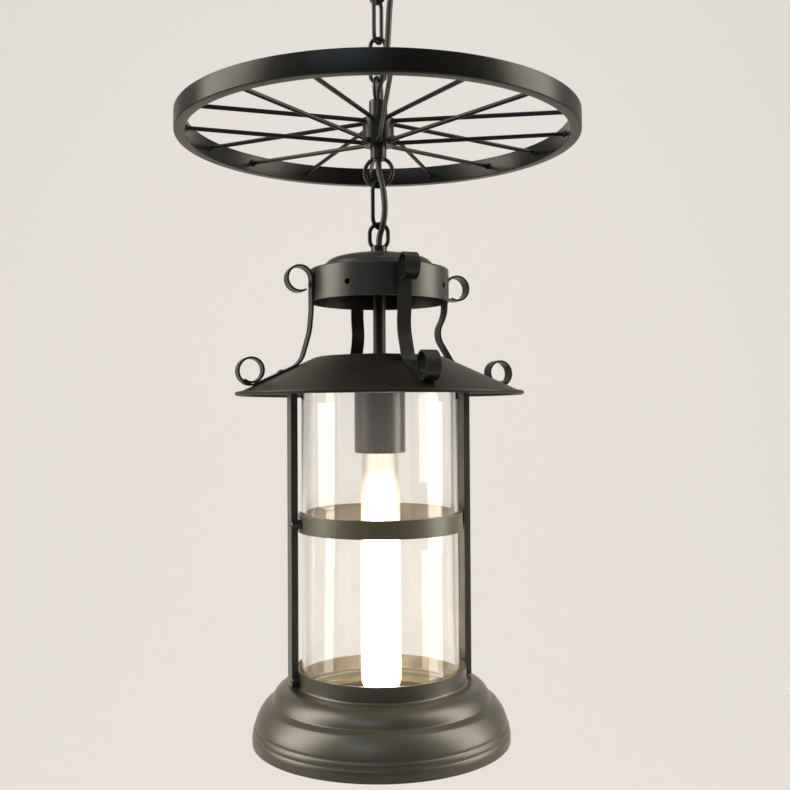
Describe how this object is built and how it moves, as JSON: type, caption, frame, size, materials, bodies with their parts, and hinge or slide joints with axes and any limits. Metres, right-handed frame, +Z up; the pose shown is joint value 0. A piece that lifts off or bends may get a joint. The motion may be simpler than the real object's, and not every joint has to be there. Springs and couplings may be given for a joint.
{
  "type": "wagon wheel chandelier",
  "caption": "Hanging lantern with a long clear glass cylinder, scrolled straps, a wide roof and a spun base, on a chain below an iron wagon wheel and a ceiling canopy.",
  "frame": {"origin": "on the chandelier's upright axis, on the top face of the ceiling bar where it meets the ceiling", "axes": "+Z is up, -Y is the front that the picture shows, +X is to the right seen from the front"},
  "size_m": [0.3154, 0.3154, 0.6601],
  "materials": {
    "galvanised_steel": "zinc plated, matt",
    "canopy_paint": "satin black powder paint",
    "chain_paint": "satin black paint",
    "wheel_paint": "satin black paint",
    "sheet_paint": "satin brown-black paint",
    "strap_paint": "satin black paint",
    "base_paint": "satin olive-black paint",
    "clear_glass": "clear, polished",
    "bulb_envelope": "clear, lit from inside",
    "bulb_brass": "plain pressed brass",
    "filament": "glowing warm white",
    "holder_body": "moulded black",
    "block_body": "moulded white",
    "grip_body": "moulded black",
    "gasket": "soft grey-black",
    "cable_jacket": "round black jacket"
  },
  "bodies": {
    "ceiling": {"ceiling_bar": "galvanised_steel", "canopy": "canopy_paint", "ceiling_eye": "canopy_paint", "ceiling_nipple": "galvanised_steel", "nipple_nut": "galvanised_steel", "cable_grip": "grip_body", "grip_nut": "galvanised_steel", "terminal_block": "block_body", "cable_tail": "cable_jacket", "cable_upper_1": "cable_jacket"},
    "link_1": {"chain_link_1": "chain_paint", "cable_upper_2": "cable_jacket"},
    "link_2": {"chain_link_2": "chain_paint", "cable_upper_3": "cable_jacket"},
    "link_3": {"chain_link_3": "chain_paint"},
    "wheel": {"wheel_rim": "wheel_paint", "wheel_hub": "wheel_paint", "upper_spokes": "wheel_paint", "lower_spokes": "wheel_paint", "hub_upper_eye": "chain_paint", "hub_lower_eye": "chain_paint", "hub_nipple": "galvanised_steel", "cable_upper_4": "cable_jacket", "cable_in_hub": "cable_jacket", "cable_lower_1": "cable_jacket"},
    "drop": {"drop_link": "chain_paint"},
    "lantern": {"lantern_eye": "chain_paint", "cap": "sheet_paint", "strap_front": "strap_paint", "strap_right": "strap_paint", "strap_back": "strap_paint", "strap_left": "strap_paint", "cap_rivets": "strap_paint", "roof_rivets": "strap_paint", "roof": "sheet_paint", "stem_tube": "sheet_paint", "stem_nuts": "galvanised_steel", "socket_cup": "sheet_paint", "lampholder": "holder_body", "lampholder_shell": "bulb_brass", "lampholder_contact": "bulb_brass", "glass_cylinder": "clear_glass", "glass_retainer": "sheet_paint", "top_gasket": "gasket", "side_bar_right": "strap_paint", "side_bar_left": "strap_paint", "glass_band": "strap_paint", "band_liner": "gasket", "bar_spacers": "strap_paint", "band_screws": "strap_paint", "base_bell": "base_paint", "glass_seat": "base_paint", "seat_gasket": "gasket", "foot_screws": "strap_paint", "cable_lower_2": "cable_jacket", "cable_in_stem": "cable_jacket"},
    "bulb": {"bulb_cap": "bulb_brass", "bulb_glass": "bulb_envelope", "bulb_mount": "bulb_envelope", "bulb_filament": "filament"}
  },
  "joints": [
    {"name": "link_1_swing", "type": "hinge", "parent": "ceiling", "child": "link_1", "pos_m": [0, 0, -0.05321], "axis": [0.4695, 0.8829, 0], "range_deg": [-20, 20], "deforming": ["cable_upper_1"]},
    {"name": "link_2_swing", "type": "hinge", "parent": "link_1", "child": "link_2", "pos_m": [0, 0, -0.08467], "axis": [0.8829, -0.4695, 0], "range_deg": [-20, 20], "deforming": ["cable_upper_2"]},
    {"name": "link_3_swing", "type": "hinge", "parent": "link_2", "child": "link_3", "pos_m": [0, 0, -0.11611], "axis": [0.5, 0.866, 0], "range_deg": [-20, 20], "deforming": ["cable_upper_3"]},
    {"name": "wheel_swing", "type": "hinge", "parent": "link_3", "child": "wheel", "pos_m": [0, 0, -0.14757], "axis": [0.9903, -0.1392, 0], "range_deg": [-20, 20], "deforming": ["cable_upper_4"]},
    {"name": "drop_swing", "type": "hinge", "parent": "wheel", "child": "drop", "pos_m": [0, 0, -0.2301], "axis": [0.9781, -0.2079, 0], "range_deg": [-20, 20], "deforming": ["cable_lower_1"]},
    {"name": "lantern_swing", "type": "hinge", "parent": "drop", "child": "lantern", "pos_m": [0, 0, -0.26295], "axis": [0.5878, 0.809, 0], "range_deg": [-20, 20], "deforming": ["cable_lower_2"]},
    {"name": "bulb_turn", "type": "hinge", "parent": "lantern", "child": "bulb", "pos_m": [0, 0, -0.405], "axis": [0, 0, -1], "range_deg": [0, 360]}
  ]
}
